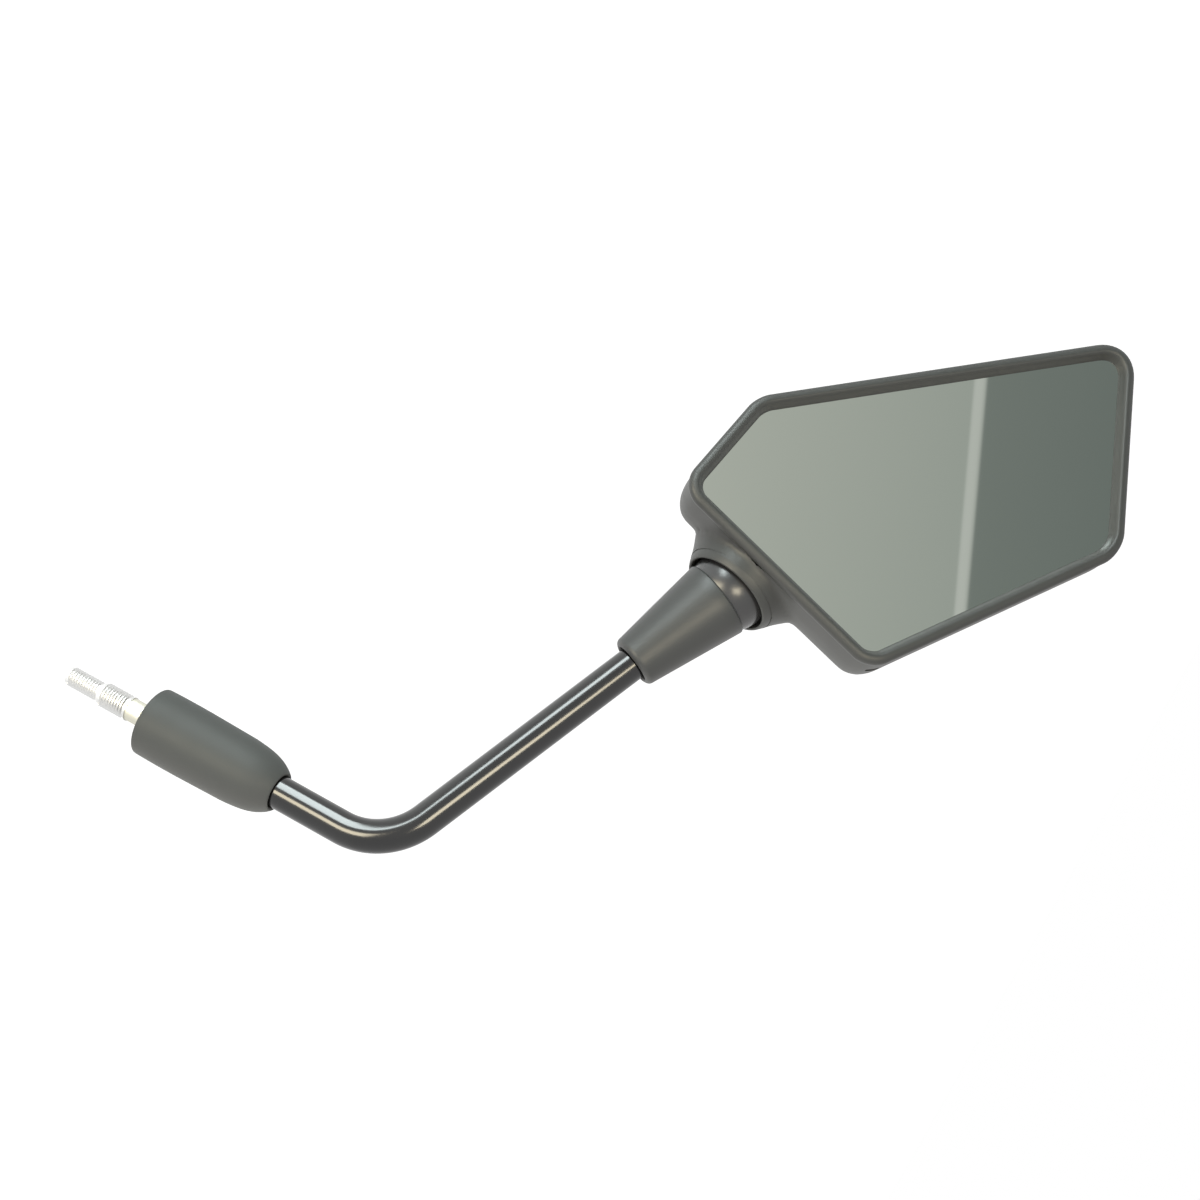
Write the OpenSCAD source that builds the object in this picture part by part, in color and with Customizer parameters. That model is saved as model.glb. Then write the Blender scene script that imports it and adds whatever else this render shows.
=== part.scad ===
// Motorcycle rear view mirror: a threaded adapter, a bent stay and a five sided head on a sprung ball pivot.
// Z is the axis of the mounting thread and the origin is the shoulder at its upper end.
// The stay bends towards -X, the glass looks towards -Y, and all sizes are millimetres.

/* [Mounting adapter] */
// Diameter of the small threaded end
tip_d = 8; // [6:0.5:9]
// Length of the small threaded end
tip_len = 16; // [8:1:25]
// Diameter of the mounting thread
stud_d = 10; // [9.5:0.5:12]
// Length of the mounting thread
stud_len = 14; // [10:1:25]
// Length of the plain neck above the mounting thread
adapter_neck_len = 14; // [10:1:20]
// How much thinner the plain neck is than the mounting thread
adapter_relief = 0.8; // [0.4:0.1:2]
// Width of the adapter's hexagon across its flats
adapter_flats = 17; // [15:1:18]
// Depth of the tapped hole that takes the stay
socket_depth = 13; // [8:1:16]
// Solid floor of the hexagon below that hole
socket_floor = 3; // [2:0.5:6]

/* [Stay] */
// Diameter of the stay's rod
rod_d = 13; // [12:0.5:14]
// Diameter of the thread on the stay's lower end
rod_thread_d = 10; // [8:0.5:11]
// Height of the bend's corner above the mounting shoulder
stay_lower = 118; // [105:1:160]
// Length of the stay from the bend's corner to the ball's centre
stay_upper = 164; // [130:1:220]
// How far the stay turns at its bend
bend_angle = 69; // [30:1:90]
// Radius of the bend along the rod's centre line
bend_r = 28; // [20:1:34]
// Width of the lock nut across its flats
nut_flats = 16; // [15:1:18]
// Height of the lock nut
nut_h = 8; // [5:0.5:10]

/* [Lower boot] */
// Height of the boot's mouth above the mounting shoulder
boot_z = 9.6; // [4:0.2:12]
// Length of the boot
boot_len = 60.5; // [56:0.5:70]
// Outer diameter of the boot at its mouth
boot_mouth_d = 27.6; // [25:0.2:32]
// Outer diameter of the boot at its shoulder
boot_shoulder_d = 26.6; // [24:0.2:31]
// Wall of the boot
boot_wall = 2.4; // [1.6:0.1:2.8]
// Length over which the boot grips the rod
boot_grip = 12; // [6:1:15]

/* [Joint cover] */
// Length of the conical cover
cover_len = 41.5; // [30:0.5:55]
// Outer diameter of the cover's wide end
cover_wide_d = 31.2; // [30.4:0.2:31.6]
// Outer diameter of the cover's narrow end
cover_narrow_d = 21; // [19:0.2:24]
// Diameter of the hole in the cover's narrow end
cover_hole_d = 15.4; // [14:0.2:16]
// Wall of the cover
cover_wall = 2; // [1.4:0.1:2.4]
// Distance of the cover's wide end from the ball's centre
cover_gap = 6; // [5.8:0.1:8]

/* [Ball pivot] */
// Diameter of the pivot ball
ball_d = 20; // [18.5:0.5:21]
// Diameter of the spigot that carries the ball
spigot_d = 9; // [7:0.5:9]
// Diameter of the round nose around the ball
nose_d = 32; // [31.4:0.2:32.2]
// Diameter of the bore behind the ball
bore_d = 24.4; // [23.6:0.2:25.4]
// Length of that bore from the ball's centre
bore_len = 25; // [24.5:0.5:29]
// Thickness of the nylon cup behind the ball
cup_floor = 3; // [2:0.5:4]
// Thickness of the steel washers on both ends of the spring
washer_t = 1.2; // [0.8:0.1:1.6]
// Diameter of the spring's wire
wire_d = 1.6; // [1.2:0.1:1.8]
// Mean diameter of the spring
spring_d = 18; // [14:0.5:20]
// Height of the fitted spring
spring_h = 6.5; // [6.5:0.5:8]
// How far the head may tilt on the ball to each side
tilt_limit = 17.5; // [10:0.5:18]

/* [Head] */
// Width of the visible glass
glass_w = 181; // [165:0.5:200]
// Height of the visible glass
glass_h = 103.5; // [95:0.5:115]
// Height of the inner corner above the lowest corner
inner_corner_y = 73; // [68:0.5:80]
// Distance from the inner corner to the start of the top edge
top_start_x = 32; // [26:0.5:38]
// How much lower the top edge starts than it ends
top_drop = 4; // [0:0.5:6]
// Height of the outer low corner above the lowest corner
outer_corner_y = 28.5; // [24:0.5:36]
// How far the outer low corner lies in from the outer end
outer_corner_inset = 24.5; // [12:0.5:32]
// Distance from the inner corner to the lowest corner across the glass
low_corner_x = 52; // [46:0.5:60]
// Depth of the glass below the plane of the rim
glass_recess = 2.7; // [1.5:0.1:3]
// Thickness of the glass
glass_t = 2.2; // [1.8:0.1:3]
// How far the rim laps over the edge of the glass
rim_lap = 0.8; // [0.4:0.1:1.2]
// Width of the rim around the visible glass
rim_w = 5.8; // [5.6:0.1:7]
// Depth of the head behind the glass
head_depth = 46; // [45:0.5:54]
// How much shallower the head's outer end is, as a share
back_taper = 0.32; // [0:0.01:0.4]
// Wall of the head's shell
shell_wall = 2.5; // [2:0.1:3]
// Thickness of the foam pad behind the glass
pad_t = 1; // [0.6:0.1:1.5]
// Thickness of the plate behind the pad
plate_t = 1.6; // [1.2:0.1:2]

/* [Head on its neck] */
// Distance from the inner corner to the neck's middle along the lower edge
neck_along = 35; // [32:0.5:45]
// Distance from the visible glass out to the ball's centre
neck_out = 12.5; // [12:0.5:15]
// Depth of the ball's centre behind the plane of the rim
ball_depth = 23; // [22:0.5:26]
// How far the neck leans back from the plane of the glass
neck_lean = 5; // [0:0.5:6]
// Diameter of the neck's mouth
neck_mouth_d = 34.6; // [34.2:0.2:36]
// How far the neck's mouth reaches past the ball's centre
neck_reach = 2.5; // [1:0.5:3]

/* [Pose at rest] */
// Turn of the head about the stay
rest_swivel = 139.5; // [0:0.5:360]
// Tilt of the head away from the stay's line
rest_tilt = 16; // [0:0.5:16]
// Turn of the head about its own neck
rest_twist = 149; // [0:0.5:360]

/* [Hidden] */
$fn = 64;

// Radial clearance of parts that turn or slide in each other
run_gap = 0.1;
// Gap between the ball and its nylon seats
ball_gap = 0.15;
// Gap between moving faces that stay apart
free_gap = 0.3;
// Far enough past a face for a clean cut
past = 1;
// Overlap that fuses two lengths of one rod
seam = 0.3;
// How much the rod's radius shrinks in its bend
bend_thin = 0.02;

// Levels along the adapter
hex_z = adapter_neck_len;
adapter_hex_h = socket_floor + socket_depth;
hex_top = hex_z + adapter_hex_h;
thread_gap = 1;
thread_z = hex_top - socket_depth + thread_gap;
nut_z = hex_top + run_gap;
rod_z = nut_z + nut_h + 2;

// The bend of the stay
bend_set = bend_r * tan(bend_angle / 2);
spigot_len = 15.5;

// The parts around the ball, measured from its centre towards the head
ball_r = ball_d / 2;
seat_r = ball_r + ball_gap;
nose_r = nose_d / 2;
nose_room = 30.5;
nose_opening = tilt_limit + nose_room;
bore_r = bore_d / 2;
seat_z = -6.6;
cup_z = 0.5;
cup_end = seat_r + cup_floor;
spring_z = cup_end + washer_t + run_gap;
disc_z = spring_z + spring_h;
ring_z = disc_z + washer_t;
ring_t = 1.2;
ring_depth = 0.9;
ring_gap = 5;
barrel_r = bore_r + 1.8;

// Corner points of the visible glass, with the lowest corner on the X axis
glass_corners = [
    [0, inner_corner_y],
    [low_corner_x, 0],
    [glass_w - outer_corner_inset, outer_corner_y],
    [glass_w, glass_h],
    [top_start_x, glass_h - top_drop]
];
glass_radii = [5, 6, 10, 6.5, 9];
corner_steps = 7;

// The edge that carries the neck, and the spot of the ball on the plane of the glass
neck_edge = glass_corners[1] - glass_corners[0];
neck_edge_angle = atan2(neck_edge[1], neck_edge[0]);
neck_angle = neck_edge_angle + 90;
ball_spot = glass_corners[0] + neck_along * along(neck_edge_angle) - neck_out * along(neck_angle);

// Levels in the head, measured from the plane of the rim
glass_z = -glass_recess - glass_t;
pad_z = glass_z - pad_t;
plate_z = pad_z - plate_t;
pocket_gap = 0.3;
lip_gap = 0.1;
head_mid = [0.5 * glass_w, 0.5 * glass_h];

// The foot of the pivot bracket and its screws
foot_top = -ball_depth - 8;
foot_t = 3.2;
foot_bottom = foot_top - foot_t;
screw_spots = [[31, 17], [31, -17], [50, 11], [50, -11]];
foot_margin = 5;
screw_d = 4;
screw_head_d = 7.6;
screw_head_h = 2.6;
screw_len = 6.5;
boss_d = 8.6;
boss_bottoms = [-38.5, -38.5, -39.5, -39.5];

// The neck: its mouth, the room for the nose, and the room for the bracket's barrel
mouth_r = neck_mouth_d / 2;
mouth_end = 5.5;
barrel_room_r = barrel_r + free_gap;
barrel_room_end = bore_len + 2.5;
neck_wall = 2.4;

function along(a) = [cos(a), sin(a)];
function unit(v) = v / norm(v);

// One rounded corner of an outline that is grown outwards, walked anticlockwise
function corner_arc(before, at, after, r, grow) =
    let (
        in_dir = unit(at - before),
        out_dir = unit(after - at),
        n1 = [in_dir[1], -in_dir[0]],
        n2 = [out_dir[1], -out_dir[0]],
        reach = (n1 + n2) / (1 + n1 * n2),
        centre = at + (grow - r) * reach,
        first = atan2(n1[1], n1[0]),
        turn = acos(n1 * n2)
    )
    [for (k = [0 : corner_steps]) centre + r * along(first + turn * k / corner_steps)];

// The whole outline of the glass, grown by a distance and rounded more as it shrinks
function outline(grow, soften = 0) =
    let (n = len(glass_corners))
    [for (i = [0 : n - 1]) each corner_arc(
        glass_corners[(i + n - 1) % n], glass_corners[i], glass_corners[(i + 1) % n],
        glass_radii[i] + max(grow, 0) + soften, grow)];

// One level of the shell: the outline, drawn in towards the middle by a share, at a depth
function level(grow, z, share = 1, soften = 0) =
    [for (p = outline(grow, soften))
        let (q = head_mid + share * (p - head_mid))
        [q[0], q[1], tapered(q[0], z)]];

// Depths behind the side wall get shallower towards the outer end
taper_start = -10;
function tapered(x, z) = z > taper_start ? z : taper_start + (z - taper_start) * (1 - back_taper * x / glass_w);

// A closed skin through levels that all have the same number of points
module skin(levels, first_tip, last_tip) {
    n = len(levels[0]);
    m = len(levels);
    points = concat([first_tip], [for (ring = levels) each ring], [last_tip]);
    faces = concat(
        [for (i = [0 : n - 1]) [0, 1 + i, 1 + (i + 1) % n]],
        [for (j = [0 : m - 2], i = [0 : n - 1])
            [1 + j * n + i, 1 + (j + 1) * n + i, 1 + j * n + (i + 1) % n]],
        [for (j = [0 : m - 2], i = [0 : n - 1])
            [1 + j * n + (i + 1) % n, 1 + (j + 1) * n + i, 1 + (j + 1) * n + (i + 1) % n]],
        [for (i = [0 : n - 1]) [m * n + 1, 1 + (m - 1) * n + (i + 1) % n, 1 + (m - 1) * n + i]]
    );
    polyhedron(points, faces, convexity = 8);
}

// Frames: the ball's centre on the stay, the head's neck, the bracket's foot and the glass
module at_ball() {
    translate([0, 0, stay_lower]) rotate([0, -bend_angle, 0]) translate([0, 0, stay_upper]) children();
}

module at_neck() {
    at_ball() rotate([0, 0, rest_swivel]) rotate([0, rest_tilt, 0]) rotate([0, 0, rest_twist]) children();
}

module at_foot() {
    at_neck() rotate([0, 90 + neck_lean, 0]) rotate([0, 0, 180]) translate([0, 0, ball_depth]) children();
}

module at_glass() {
    at_foot() rotate([0, 0, -neck_angle]) translate([-ball_spot[0], -ball_spot[1], 0]) children();
}

// Turned and plated adapter: a small thread, the mounting thread, a plain neck and a tapped hexagon
module mount_adapter() {
    chamfer = 0.8;
    color("gainsboro") difference() {
        union() {
            translate([0, 0, -stud_len - tip_len]) threaded_end(tip_d, tip_len, chamfer);
            translate([0, 0, -stud_len]) threaded_end(stud_d, stud_len, chamfer);
            cylinder(d = stud_d - adapter_relief, h = hex_z + past);
            translate([0, 0, hex_z]) hexagon(adapter_flats, adapter_hex_h);
        }
        translate([0, 0, hex_top - socket_depth])
            cylinder(d = rod_thread_d + 2 * run_gap, h = socket_depth + past);
    }
}

// A plain cylinder for a thread, chamfered at its lower end
module threaded_end(d, h, chamfer) {
    rotate_extrude() polygon([
        [0, 0], [d / 2 - chamfer, 0], [d / 2, chamfer], [d / 2, h], [0, h]
    ]);
}

// A hexagonal prism with turned corners at both ends
module hexagon(flats, h) {
    corner_r = flats / 2 / cos(30);
    turned = 0.8;
    intersection() {
        cylinder(r = corner_r, h = h, $fn = 6);
        rotate_extrude() polygon([
            [0, 0], [corner_r - turned, 0], [corner_r, turned], [corner_r, h - turned],
            [corner_r - turned, h], [0, h]
        ]);
    }
}

// Bent steel rod with a threaded lower end and a spigot for the ball
module stay_rod() {
    thread_chamfer = 0.8;
    step = 1;
    bend_z = stay_lower - bend_set;
    color("dimgray") {
        rotate_extrude() polygon([
            [0, thread_z], [rod_thread_d / 2 - thread_chamfer, thread_z],
            [rod_thread_d / 2, thread_z + thread_chamfer], [rod_thread_d / 2, rod_z],
            [rod_d / 2, rod_z + step], [rod_d / 2, bend_z + seam], [0, bend_z + seam]
        ]);
        translate([-bend_r, 0, bend_z]) rotate([90, 0, 0])
            rotate_extrude(angle = bend_angle) translate([bend_r, 0]) circle(d = rod_d - 2 * bend_thin);
        at_ball() translate([0, 0, bend_set - stay_upper]) rotate_extrude() polygon([
            [0, -seam], [rod_d / 2, -seam], [rod_d / 2, stay_upper - bend_set - spigot_len - step],
            [spigot_d / 2, stay_upper - bend_set - spigot_len], [spigot_d / 2, stay_upper - bend_set],
            [0, stay_upper - bend_set]
        ]);
    }
}

// Hexagonal nut that locks the stay in the adapter
module lock_nut() {
    color("silver") translate([0, 0, nut_z]) difference() {
        hexagon(nut_flats, nut_h);
        translate([0, 0, -past]) cylinder(d = rod_thread_d + 2 * run_gap, h = nut_h + 2 * past);
    }
}

// Rubber boot over the adapter's hexagon and the lock nut, gripping the rod with its upper end
module lower_boot() {
    mouth_r = boot_mouth_d / 2;
    shoulder_r = boot_shoulder_d / 2;
    shoulder_z = boot_len - 16;
    lip = 1;
    end_r = rod_d / 2 + 1.2;
    hollow_end = boot_len - boot_grip;
    color("dimgray") translate([0, 0, boot_z]) rotate_extrude() polygon([
        [mouth_r - boot_wall + lip / 2, 0],
        [mouth_r - lip, 0],
        [mouth_r, lip],
        [mouth_r + 0.1, 0.35 * shoulder_z],
        [shoulder_r + 0.2, 0.8 * shoulder_z],
        [shoulder_r, shoulder_z],
        [shoulder_r - 0.6, boot_len - 10],
        [shoulder_r - 1.5, boot_len - 5.5],
        [shoulder_r - 2.9, boot_len - 2.6],
        [shoulder_r - 4.4, boot_len - 0.8],
        [end_r + 0.4, boot_len],
        [end_r - 0.6, boot_len - 0.2],
        [rod_d / 2 + run_gap, boot_len - 1],
        [rod_d / 2 + run_gap, hollow_end],
        [shoulder_r - boot_wall, hollow_end - 6],
        [mouth_r - boot_wall, 0.35 * shoulder_z],
        [mouth_r - boot_wall, lip]
    ]);
}

// Loose conical cover: a centring web on the rod, and a wide end that clears the nose
module joint_cover() {
    wide_r = cover_wide_d / 2;
    narrow_r = cover_narrow_d / 2;
    hole_r = cover_hole_d / 2;
    round = 2.4;
    far = -cover_gap - cover_len;
    web_z = far + 9;
    web_t = 3;
    cavity_r = narrow_r - cover_wall;
    end_arc = [for (k = [0 : 5]) [
        narrow_r - round + round * sin(18 * k) + 0.2 * k / 5, far + round - round * cos(18 * k)]];
    color("dimgray") at_ball() difference() {
        rotate_extrude() polygon(concat(
            end_arc,
            [[wide_r, -cover_gap - 0.5], [wide_r - 0.4, -cover_gap], [wide_r - cover_wall, -cover_gap],
            [cavity_r + 1, web_z + web_t], [rod_d / 2 + run_gap, web_z + web_t],
            [rod_d / 2 + run_gap, web_z], [cavity_r, web_z - 1.5], [hole_r, far + 2.5], [hole_r, far + 0.6],
            [hole_r + 0.5, far]]
        ));
        sphere(r = nose_r + free_gap);
    }
}

// Steel ball on the stay's end
module pivot_ball() {
    color("silver") at_ball() difference() {
        sphere(r = ball_r);
        translate([0, 0, -ball_r - past]) cylinder(d = spigot_d, h = ball_r + past);
    }
}

// Nylon ring between the ball and the front of the bore
module front_seat() {
    color("ivory") at_neck() difference() {
        translate([0, 0, seat_z]) cylinder(r = bore_r - run_gap, h = cup_z - run_gap - seat_z);
        sphere(r = seat_r);
    }
}

// Nylon cup behind the ball
module ball_cup() {
    color("ivory") at_neck() difference() {
        translate([0, 0, cup_z]) cylinder(r = bore_r - run_gap, h = cup_end - cup_z);
        sphere(r = seat_r);
    }
}

// Steel washer between the cup and the spring
module pressure_washer() {
    color("silver") at_neck() translate([0, 0, cup_end]) washer(bore_r - 2 * run_gap, 4);
}

module washer(outer_r, inner_r) {
    difference() {
        cylinder(r = outer_r, h = washer_t);
        translate([0, 0, -past]) cylinder(r = inner_r, h = washer_t + 2 * past);
    }
}

// Compression spring that presses the cup on the ball
module friction_spring() {
    turns = 2.25;
    sides = 8;
    per_turn = 24;
    steps = turns * per_turn;
    wire_r = wire_d / 2;
    rise = spring_h - wire_d;
    points = [for (k = [0 : steps], s = [0 : sides - 1])
        let (
            a = 360 * k / per_turn,
            w = 360 * s / sides,
            r = spring_d / 2 + wire_r * cos(w)
        )
        [r * cos(a), r * sin(a), wire_r + rise * k / steps + wire_r * sin(w)]];
    faces = concat(
        [[for (s = [0 : sides - 1]) s]],
        [for (k = [0 : steps - 1], s = [0 : sides - 1])
            [k * sides + s, (k + 1) * sides + s, (k + 1) * sides + (s + 1) % sides, k * sides + (s + 1) % sides]],
        [[for (s = [sides - 1 : -1 : 0]) steps * sides + s]]
    );
    color("lightsteelblue") at_neck() translate([0, 0, spring_z]) polyhedron(points, faces, convexity = 6);
}

// Steel disc behind the spring
module spring_disc() {
    color("silver") at_neck() translate([0, 0, disc_z]) washer(bore_r - 2 * run_gap, 3);
}

// Sprung ring in a groove of the bore that holds the disc
module retaining_ring() {
    color("gray") at_neck() translate([0, 0, ring_z]) difference() {
        cylinder(r = bore_r + ring_depth - run_gap, h = ring_t);
        translate([0, 0, -past]) cylinder(r = bore_r - 2.2, h = ring_t + 2 * past);
        translate([0, -ring_gap / 2, -past]) cube([2 * bore_r, ring_gap, ring_t + 2 * past]);
    }
}

// Cast bracket: a round nose around the ball, a bored barrel and a foot with four screw holes
module pivot_bracket() {
    nose_front = -nose_r * cos(nose_opening);
    wall_front = seat_z - run_gap;
    groove_z = ring_z - run_gap / 2;
    foot_front = 16;
    foot_back = screw_spots[2][0] + foot_margin;
    foot_neck_side = 9;
    foot_side = screw_spots[0][1] + foot_margin;
    foot_end_side = screw_spots[2][1] + foot_margin;
    nose_end = 5;
    color("dimgray") difference() {
        union() {
            at_neck() rotate_extrude() difference() {
                union() {
                    circle(r = nose_r);
                    square([nose_r, nose_end]);
                    square([barrel_r, bore_len]);
                }
                translate([-2 * nose_r, -nose_r]) square([2 * nose_r, 2 * nose_r + bore_len]);
            }
            at_foot() translate([0, 0, foot_bottom]) linear_extrude(foot_t) polygon([
                [foot_front, -foot_neck_side], [screw_spots[0][0] - 6, -foot_neck_side],
                [screw_spots[0][0] - 4, -foot_side], [screw_spots[0][0] + foot_margin, -foot_side],
                [foot_back, -foot_end_side], [foot_back, foot_end_side],
                [screw_spots[0][0] + foot_margin, foot_side], [screw_spots[0][0] - 4, foot_side],
                [screw_spots[0][0] - 6, foot_neck_side], [foot_front, foot_neck_side]
            ]);
        }
        at_neck() {
            translate([0, 0, wall_front]) cylinder(r = bore_r, h = bore_len + past - wall_front);
            rotate_extrude() polygon([
                [0, wall_front + past], [-wall_front * tan(nose_opening), wall_front + past],
                [-wall_front * tan(nose_opening), wall_front],
                [2 * nose_r * tan(nose_opening), -2 * nose_r], [0, -2 * nose_r]
            ]);
            translate([0, 0, groove_z]) cylinder(r = bore_r + ring_depth, h = ring_t + run_gap);
        }
        for (spot = screw_spots)
            at_foot() translate([spot[0], spot[1], foot_bottom - past])
                cylinder(d = screw_d + 2 * run_gap, h = foot_t + 2 * past);
    }
}

// One of the screws that hold the bracket's foot, with a pan head and a cross recess
module bracket_screw(spot) {
    recess = 1.1;
    color("silver") at_foot() translate([spot[0], spot[1], foot_top]) difference() {
        union() {
            rotate_extrude() polygon([
                [0, 0], [screw_head_d / 2, 0], [screw_head_d / 2, screw_head_h * 0.5],
                [screw_head_d * 0.38, screw_head_h * 0.85], [screw_head_d * 0.2, screw_head_h], [0, screw_head_h]
            ]);
            translate([0, 0, -screw_len]) cylinder(d = screw_d, h = screw_len + past);
        }
        for (a = [0, 90]) rotate([0, 0, a])
            translate([-2, -recess / 2, screw_head_h - 1.4]) cube([4, recess, 1.4 + past]);
    }
}

module bracket_screw_1() bracket_screw(screw_spots[0]);
module bracket_screw_2() bracket_screw(screw_spots[1]);
module bracket_screw_3() bracket_screw(screw_spots[2]);
module bracket_screw_4() bracket_screw(screw_spots[3]);

// Moulded shell: one skin from the middle of its back, around the rim and down inside to its back wall
module shell_skin() {
    side = rim_w - 0.7;
    back = -head_depth;
    inner = side - shell_wall;
    levels = [
        level(-14, back + 0.4, 0.3, 10),
        level(-14, back + 1.2, 0.6, 10),
        level(-14, back + 2.6, 0.85, 10),
        level(-11.5, back + 4.2, 1, 10),
        level(-6, back + 6.8, 1, 9),
        level(-1.5, back + 10, 1, 7),
        level(1.8, back + 14, 1, 5),
        level(side - 1.6, back + 19, 1, 3.5),
        level(side - 0.5, back + 25, 1, 2),
        level(side, back + 32),
        level(side, -3.4),
        level(rim_w - 0.3, -2.6),
        level(rim_w, -1.5),
        level(rim_w - 0.1, -0.4),
        level(rim_w - 0.7, 0.6),
        level(rim_w - 1.6, 1.2),
        level(rim_w - 2.7, 1.4),
        level(2.1, 0.8),
        level(1.1, -0.5),
        level(0.3, -1.8),
        level(0, lip_gap - glass_recess),
        level(rim_lap + pocket_gap, lip_gap - glass_recess),
        level(rim_lap + pocket_gap, plate_z),
        level(-1.2, plate_z),
        level(-1.2, plate_z - 1.6),
        level(inner, plate_z - 3.4),
        level(inner - 0.4, back + 26, 1, 1),
        level(inner - 1.8, back + 20, 1, 3),
        level(-1.4, back + 15.6, 1, 5),
        level(-4.8, back + 12, 1, 7),
        level(-9.6, back + 8.8, 1, 9),
        level(-14, back + 6.6, 1, 10),
        level(-14, back + 5, 0.85, 10),
        level(-14, back + 3.6, 0.6, 10),
        level(-14, back + 2.9, 0.3, 10)
    ];
    skin(levels,
        [head_mid[0], head_mid[1], tapered(head_mid[0], back)],
        [head_mid[0], head_mid[1], tapered(head_mid[0], back + shell_wall)]);
}

// A solid whose skin runs inside the shell's walls, for cutting away what would stand in the hollow
module shell_hollow() {
    mid = rim_w - 0.7 - shell_wall / 2;
    back = -head_depth + shell_wall / 2;
    levels = [
        level(-14, back + 0.4, 0.3, 10),
        level(-14, back + 1.2, 0.6, 10),
        level(-14, back + 2.6, 0.85, 10),
        level(-12.5, back + 4, 1, 10),
        level(-7.6, back + 6.8, 1, 9),
        level(-3, back + 10, 1, 7),
        level(0.4, back + 14, 1, 5),
        level(mid - 1.6, back + 19, 1, 3.5),
        level(mid - 0.5, back + 25, 1, 2),
        level(mid, plate_z - 3.4)
    ];
    skin(levels,
        [head_mid[0], head_mid[1], tapered(head_mid[0], back)],
        [head_mid[0], head_mid[1], plate_z - 3.4]);
}

// Sides of the neck's rings, and where and how widely its flare stands out
neck_sides = 60;
flare_angle = 78;
flare_spread = 28;

// One ring of the neck: round at the mouth, flared along the edge of the glass further in
function neck_ring(z, front, rear, flare) =
    [for (k = [0 : neck_sides - 1])
        let (
            a = 360 * k / neck_sides,
            share = (1 - cos(a)) / 2,
            off = (min(a, 360 - a) - flare_angle) / flare_spread,
            r = front + (rear - front) * share + flare * exp(-off * off)
        )
        [r * cos(a), r * sin(a), z]];

// Flared neck from its mouth through the side of the shell to the end of the bracket's barrel
module neck_horn() {
    rear = barrel_room_r + neck_wall;
    front = ball_depth - 3;
    pocket_side = ball_depth + plate_z + 0.7;
    levels = [
        neck_ring(-neck_reach, mouth_r + 0.5, mouth_r + 0.5, 0),
        neck_ring(-neck_reach + 0.3, mouth_r + 1.1, mouth_r + 1.1, 0),
        neck_ring(-neck_reach + 1.7, mouth_r + 2, mouth_r + 2, 0),
        neck_ring(1.2, mouth_r + 2.9, mouth_r + 2.6, 0.3),
        neck_ring(3.4, front + 0.4, mouth_r + 2.4, 1.6),
        neck_ring(5.4, front + 0.3, rear + 2, 3.6),
        neck_ring(7, front, rear + 1.6, 5.6),
        neck_ring(8.8, front - 1.8, rear + 1.2, 6.8),
        neck_ring(10.6, pocket_side, rear + 0.8, 5),
        neck_ring(17, pocket_side, rear + 0.4, 2),
        neck_ring(24, pocket_side, rear, 0),
        neck_ring(barrel_room_end + neck_wall, rear - 3.6, rear - 3, 0)
    ];
    difference() {
        at_neck() skin(levels, [0, 0, -neck_reach], [0, 0, barrel_room_end + neck_wall]);
        at_glass() shell_hollow();
    }
}

// The head's shell with its neck, the bosses of the bracket and the drain slot
module housing() {
    slot_w = 5.6;
    slot_h = 1.8;
    mouth_chamfer = 0.4;
    color("dimgray") difference() {
        union() {
            at_glass() shell_skin();
            neck_horn();
            for (i = [0 : 3])
                at_foot() translate([screw_spots[i][0], screw_spots[i][1], boss_bottoms[i]])
                    cylinder(d = boss_d, h = foot_bottom - boss_bottoms[i]);
        }
        at_neck() rotate_extrude() polygon([
            [0, -neck_reach - past], [mouth_r + mouth_chamfer, -neck_reach - past],
            [mouth_r + mouth_chamfer, -neck_reach], [mouth_r, mouth_chamfer - neck_reach],
            [mouth_r, mouth_end], [barrel_room_r, mouth_end + 3], [barrel_room_r, barrel_room_end],
            [0, barrel_room_end]
        ]);
        for (spot = screw_spots)
            at_foot() translate([spot[0], spot[1], foot_top - screw_len - run_gap])
                cylinder(d = screw_d + run_gap, h = screw_len);
        at_glass() translate([low_corner_x + 1, -rim_w - past, -9]) rotate([0, 0, -6])
            translate([-slot_w / 2, -2, 0]) cube([slot_w, 8, slot_h]);
    }
}

// Plastic plate that carries the pad and the glass
module carrier_plate() {
    color("darkslategray") at_glass() translate([0, 0, plate_z]) linear_extrude(plate_t)
        polygon(outline(rim_lap));
}

// Foam pad bonded between the plate and the glass
module glass_pad() {
    color("black") at_glass() translate([0, 0, pad_z]) linear_extrude(pad_t)
        polygon(outline(rim_lap - 1.5));
}

// Silvered glass
module mirror_glass() {
    color("lightgray") at_glass() translate([0, 0, glass_z]) linear_extrude(glass_t)
        polygon(outline(rim_lap));
}

mount_adapter();
stay_rod();
lock_nut();
lower_boot();
joint_cover();
pivot_ball();
front_seat();
ball_cup();
pressure_washer();
friction_spring();
spring_disc();
retaining_ring();
pivot_bracket();
bracket_screw_1();
bracket_screw_2();
bracket_screw_3();
bracket_screw_4();
housing();
carrier_plate();
glass_pad();
mirror_glass();
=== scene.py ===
from math import acos, atan2, cos, pi, radians, sin, tan

import bmesh
import bpy
from mathutils import Matrix, Vector


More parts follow.
